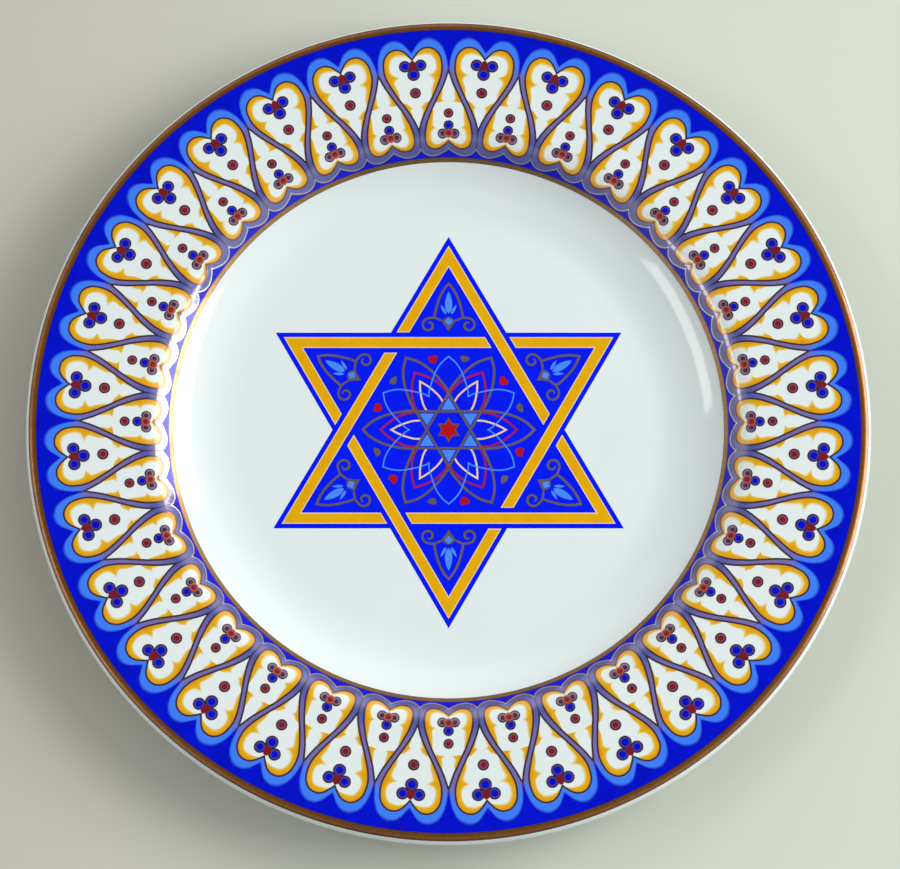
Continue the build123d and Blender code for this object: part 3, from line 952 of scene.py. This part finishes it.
def makePalmettes():
    leaf = mitredLine(smoothLine(palmette["leaf"], palmette["leafSteps"]), palmette["line"])
    arm = palmetteArm()
    kite = bothHalves(smoothLine(palmette["kite"], palmette["kiteSteps"]))
    frames = [slab(sixfold(grid), star["lineLift"]) for grid in (leaf, arm, mirrored(arm))]
    frames.append(slab(sixfold(drawnIn(kite, 2)), palmette["kiteLift"], closed=True))
    addPiece("palmetteFrames", frames, "gilt", ["palmette_frames"])
    lily = leafBetween((0, palmette["lilyFoot"]), (0, palmette["lilyTip"]), palmette["lilyHalf"])
    side = leafBetween(palmette["sideFoot"], palmette["sideTip"], palmette["sideHalf"])
    diamond = polygon(palmette["diamondHalf"], 4) + (0, palmette["diamond"])
    lilies = [slab(sixfold(grid), star["flatLift"]) for grid in (lily, side, mirrored(side))]
    lilies.append(slab(sixfold(drawnIn(diamond, 1)), star["flatLift"], closed=True))
    addPiece("palmetteLilies", lilies, "sky", ["palmette_lilies"])


makeStarGround()
makeRibbons()
makeRosette()
makeSeeds()
makePalmettes()
print("star laid")

# Stage: floor, lamps and camera
# floorPaintedShade is a painted shadow: the floor is painted darker and warmer towards the left
stage = dict(
    floorHalf=3.0, floorRight=tint(204, 209, 197), floorPaintedShade=tint(191, 185, 173), paintedShadeTurn=(-0.24, 0.06),
    floorCloud=240, floorWander=0.1, floorRough=0.75,
    horizon=0.3, dome=1.0, rise=(0.1, 0.55), lean=(0.1, 0.3, 0),
    warm=(0.78, 0.5, 0.32, 1), cool=(0.95, 0.98, 1.0, 1), warmEdge=(0.12, 0.36),
    flags=dict(above=dict(toward=(0, 0.227, 0.974), edge=(0.77, 0.97), share=0.95),
               front=dict(toward=(-0.06, -0.83, 0.55), edge=(0.74, 0.95), share=0.7)),
)
mesh = bpy.data.meshes.new("floor")
half = stage["floorHalf"]
floorCorners = [(-half, -half, 0), (half, -half, 0), (half, half, 0), (-half, half, 0)]
mesh.from_pydata(floorCorners, [], [(0, 1, 2, 3)])
floorFinish = Finish("paleFloor", {"Roughness": stage["floorRough"]})
toRight = floorFinish.node("ShaderNodeSeparateXYZ", None, {0: floorFinish.place})
wander = (floorFinish.noise(stage["floorCloud"], detail=2) - 0.5) * stage["floorWander"]
# painted shadow and falloff of light on the left side of the floor, its edge wandering in slow clouds
outsidePaintedShade = floorFinish.ramp(toRight + wander, *stage["paintedShadeTurn"])
floorFinish.set("Base Color", floorFinish.blend(outsidePaintedShade, stage["floorPaintedShade"], stage["floorRight"]))
mesh.materials.append(floorFinish.material)
floor = stand("floor", mesh)

world = bpy.data.worlds.new("studio")
bpy.context.scene.world = world
world.use_nodes = True
background = world.node_tree.nodes["Background"]
sky = Nodes(world.node_tree)
direction = sky.node("ShaderNodeTexCoord", output="Generated")
upward = sky.node("ShaderNodeSeparateXYZ", None, {0: direction}, 2)


def facing(vector):
    # dot product of the direction of a ray and a vector
    return sky.node("ShaderNodeVectorMath", {"operation": "DOT_PRODUCT"}, {0: direction, 1: vector}, 1)


# A dome that is dim and warm by the horizon and brighter on one side, with dark flags where the level faces,
# and the well's wall at the back, would mirror it to the camera
warmth = sky.ramp(upward, *stage["warmEdge"])
sky.feed(background.inputs["Color"], sky.blend(warmth, stage["warm"], stage["cool"]))
dome = sky.ramp(upward, *stage["rise"]) * (stage["dome"] - stage["horizon"]) + stage["horizon"]
light = dome * (facing(stage["lean"]) + 1)
for flag in stage["flags"].values():
    light = light * (1 - sky.ramp(facing(flag["toward"]), *flag["edge"]) * flag["share"])
sky.feed(background.inputs["Strength"], light)

softboxes = dict(
    keyRight=dict(azimuth=9, elevation=32, distance=1.8, wide=1.25, high=0.9, roll=0, watts=27.0,
                  colour=(1.0, 1.0, 0.98)),
    stripLeft=dict(azimuth=184, elevation=48, distance=1.5, wide=0.74, high=0.24, roll=10, watts=2.4,
                   colour=(1.0, 0.98, 0.94)),
)
for name, box in softboxes.items():
    lamp = bpy.data.lights.new(name, "AREA")
    lamp.shape = "RECTANGLE"
    lamp.size = box["wide"]
    lamp.size_y = box["high"]
    lamp.energy = box["watts"]
    lamp.color = box["colour"]
    azimuth, elevation = np.radians(box["azimuth"]), np.radians(box["elevation"])
    level = np.cos(elevation)
    toward = Vector((np.cos(azimuth) * level, np.sin(azimuth) * level, np.sin(elevation)))
    holder = stand(name, lamp)
    holder.location = toward * box["distance"]
    rolled = toward.to_track_quat("Z", "Y") @ Quaternion((0, 0, 1), np.radians(box["roll"]))
    holder.rotation_euler = rolled.to_euler()

# The camera looks at the middle of the well from above, tilted from the axis towards the front
view = dict(lens=130.0, distance=1.185, tilt=13.144, shiftX=0.00154, shiftY=-0.00521, farthest=20)
camera = bpy.data.cameras.new("camera")
camera.lens = view["lens"]
camera.shift_x = view["shiftX"]
camera.shift_y = view["shiftY"]
camera.clip_end = view["farthest"]
tilt = np.radians(view["tilt"])
eye = Vector((0, -np.sin(tilt), np.cos(tilt)))
cameraHolder = stand("camera", camera)
cameraHolder.location = eye * view["distance"] + Vector((0, 0, upperLine[0, 1] * mm))
cameraHolder.rotation_euler = (tilt, 0, 0)
bpy.context.scene.camera = cameraHolder
bpy.context.scene.view_settings.view_transform = "Standard"
print("stage set")
